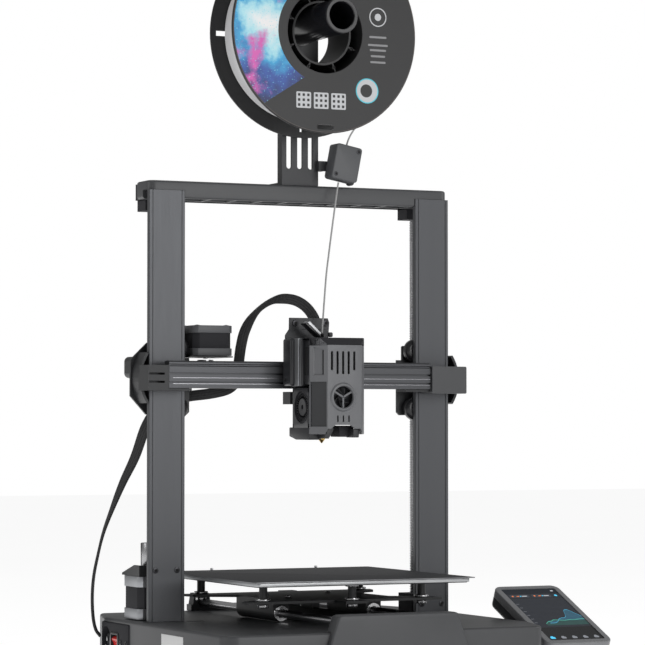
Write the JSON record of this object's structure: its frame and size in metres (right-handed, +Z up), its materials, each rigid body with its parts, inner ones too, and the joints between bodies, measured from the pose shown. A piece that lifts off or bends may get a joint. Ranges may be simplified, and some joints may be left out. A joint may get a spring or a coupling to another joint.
{
  "type": "fdm printer",
  "caption": "Desktop filament printer: bed on two rods, crossbeam with print head between two uprights, filament spool on top, touch screen at the side.",
  "frame": {"origin": "under the centre of the printer's outline, on the surface it stands on", "axes": "+X to the right seen from the front, +Y to the back, +Z up"},
  "size_m": [0.4432, 0.364, 0.7375],
  "materials": {
    "dark_anodised": "satin",
    "dark_sheet": "satin",
    "base_plastic": "matte",
    "black_plastic": "matte",
    "black_metal": "satin",
    "motor_body": "satin",
    "grey_plastic": "satin",
    "red_plastic": "gloss",
    "screen_glass": "gloss",
    "supply_case": "brushed",
    "steel": "polished",
    "rubber": "matte",
    "filament": "satin",
    "heater_metal": "satin",
    "bed_metal": "satin",
    "plate_coating": "textured matte"
  },
  "bodies": {
    "base": {"base_shell": "base_plastic", "base_floor": "black_plastic", "nose_cover": "base_plastic", "power_inlet": "black_plastic", "power_supply": "supply_case", "y_motor": "motor_body", "screen_case": "base_plastic", "screen_glass": "screen_glass", "upright_left": "dark_anodised", "upright_right": "dark_anodised", "top_beam": "dark_anodised", "z_belt_cover": "black_plastic", "z_belt": "rubber", "z_motor": "motor_body", "z_motor_bracket": "black_metal", "screw_foot": "black_plastic", "spool_bracket": "dark_sheet", "spool_tube": "black_plastic", "sensor_box": "grey_plastic", "filament_upper": "filament", "filament_lower": "filament", "y_rod_left": "steel", "y_rod_right": "steel", "rear_rod_holder": "black_plastic", "y_belt": "rubber", "harness_lower": "rubber"},
    "rocker": {"power_rocker": "red_plastic"},
    "spool": {"spool": "black_plastic", "winding": "filament"},
    "screw_left": {"lead_screw_left": "steel", "screw_coupler": "steel"},
    "screw_right": {"lead_screw_right": "steel"},
    "y_drive": {"y_pulley": "steel"},
    "gantry": {"x_beam": "dark_anodised", "left_carriage": "dark_sheet", "right_carriage": "dark_sheet", "tensioner_box": "base_plastic", "x_motor": "motor_body", "belt_guide": "steel", "x_belt": "rubber", "harness_arch": "rubber"},
    "x_drive": {"x_pulley": "steel"},
    "x_return": {"x_idler": "steel"},
    "print_head": {"head_carriage": "dark_sheet", "head_cover": "grey_plastic", "extruder_body": "black_plastic", "blower": "black_plastic", "hotend": "heater_metal"},
    "cooling_impeller": {"blower_impeller": "black_plastic"},
    "front_fan": {"hotend_fan": "black_plastic"},
    "lever": {"extruder_lever": "steel"},
    "bed": {"bed_carriage": "dark_sheet", "heated_bed": "bed_metal"},
    "plate": {"build_plate": "plate_coating"},
    "wheel_left_upper_body": {"wheel_left_upper": "rubber"},
    "wheel_left_lower_body": {"wheel_left_lower": "rubber"},
    "wheel_left_outer_body": {"wheel_left_outer": "rubber"},
    "wheel_right_upper_body": {"wheel_right_upper": "rubber"},
    "wheel_right_lower_body": {"wheel_right_lower": "rubber"},
    "wheel_right_outer_body": {"wheel_right_outer": "rubber"}
  },
  "joints": [
    {"name": "gantry_lift", "type": "slide", "parent": "base", "child": "gantry", "axis": [0, 0, 1], "range_m": [-0.129, 0.11], "deforming": ["harness_lower", "filament_lower"]},
    {"name": "head_travel", "type": "slide", "parent": "gantry", "child": "print_head", "axis": [1, 0, 0], "range_m": [-0.11, 0.11], "deforming": ["harness_arch", "filament_lower"]},
    {"name": "bed_travel", "type": "slide", "parent": "base", "child": "bed", "axis": [0, 1, 0], "range_m": [-0.1264, 0.0936]},
    {"name": "plate_lift", "type": "slide", "parent": "bed", "child": "plate", "axis": [0, 0, 1], "range_m": [0, 0.1]},
    {"name": "spool_turn", "type": "hinge", "parent": "base", "child": "spool", "pos_m": [-0.0328, 0.006, 0.6375], "axis": [0, 1, 0], "continuous": true},
    {"name": "screw_left_turn", "type": "hinge", "parent": "base", "child": "screw_left", "pos_m": [-0.1788, 0.072, 0.3], "axis": [0, 0, 1], "continuous": true},
    {"name": "screw_right_turn", "type": "hinge", "parent": "base", "child": "screw_right", "pos_m": [0.1132, 0.072, 0.3], "axis": [0, 0, 1], "continuous": true},
    {"name": "y_drive_turn", "type": "hinge", "parent": "base", "child": "y_drive", "pos_m": [-0.0328, 0.157, 0.066], "axis": [0, 0, 1], "continuous": true},
    {"name": "x_drive_turn", "type": "hinge", "parent": "gantry", "child": "x_drive", "pos_m": [-0.1288, 0.0525, 0.303], "axis": [0, 0, 1], "continuous": true},
    {"name": "x_return_turn", "type": "hinge", "parent": "gantry", "child": "x_return", "pos_m": [0.1172, 0.0245, 0.303], "axis": [0, 0, 1], "continuous": true},
    {"name": "rocker_tilt", "type": "hinge", "parent": "base", "child": "rocker", "pos_m": [-0.2008, 0.0935, 0.033], "axis": [0, 1, 0], "range_deg": [0, 14]},
    {"name": "impeller_turn", "type": "hinge", "parent": "print_head", "child": "cooling_impeller", "pos_m": [-0.0558, -0.0266, 0.2681], "axis": [1, 0, 0], "continuous": true},
    {"name": "front_fan_turn", "type": "hinge", "parent": "print_head", "child": "front_fan", "pos_m": [-0.0328, -0.056, 0.2776], "axis": [0, 1, 0], "continuous": true},
    {"name": "lever_press", "type": "hinge", "parent": "print_head", "child": "lever", "pos_m": [-0.0368, -0.017, 0.339], "axis": [0, 1, 0], "range_deg": [-18, 0], "stiffness_Nm_per_rad": 0.25, "springref_deg": 14.32},
    {"name": "wheel_left_upper_turn", "type": "hinge", "parent": "gantry", "child": "wheel_left_upper_body", "pos_m": [-0.16465, 0.0417, 0.3258], "axis": [0, 1, 0], "continuous": true},
    {"name": "wheel_left_lower_turn", "type": "hinge", "parent": "gantry", "child": "wheel_left_lower_body", "pos_m": [-0.16465, 0.0417, 0.2674], "axis": [0, 1, 0], "continuous": true},
    {"name": "wheel_left_outer_turn", "type": "hinge", "parent": "gantry", "child": "wheel_left_outer_body", "pos_m": [-0.19295, 0.0417, 0.2966], "axis": [0, 1, 0], "continuous": true},
    {"name": "wheel_right_upper_turn", "type": "hinge", "parent": "gantry", "child": "wheel_right_upper_body", "pos_m": [0.09905, 0.0417, 0.3258], "axis": [0, 1, 0], "continuous": true},
    {"name": "wheel_right_lower_turn", "type": "hinge", "parent": "gantry", "child": "wheel_right_lower_body", "pos_m": [0.09905, 0.0417, 0.2674], "axis": [0, 1, 0], "continuous": true},
    {"name": "wheel_right_outer_turn", "type": "hinge", "parent": "gantry", "child": "wheel_right_outer_body", "pos_m": [0.12735, 0.0417, 0.2966], "axis": [0, 1, 0], "continuous": true}
  ],
  "couplings": [
    {"joint": "screw_left_turn", "follows": "gantry_lift", "rad_per_m": 785.4},
    {"joint": "screw_right_turn", "follows": "gantry_lift", "rad_per_m": 785.4},
    {"joint": "y_drive_turn", "follows": "bed_travel", "rad_per_m": 200},
    {"joint": "x_drive_turn", "follows": "head_travel", "rad_per_m": 149.25},
    {"joint": "x_return_turn", "follows": "head_travel", "rad_per_m": 222.22},
    {"joint": "wheel_left_upper_turn", "follows": "gantry_lift", "rad_per_m": 83.333},
    {"joint": "wheel_left_lower_turn", "follows": "gantry_lift", "rad_per_m": 83.333},
    {"joint": "wheel_left_outer_turn", "follows": "gantry_lift", "rad_per_m": -83.333},
    {"joint": "wheel_right_upper_turn", "follows": "gantry_lift", "rad_per_m": -83.333},
    {"joint": "wheel_right_lower_turn", "follows": "gantry_lift", "rad_per_m": -83.333},
    {"joint": "wheel_right_outer_turn", "follows": "gantry_lift", "rad_per_m": 83.333}
  ]
}
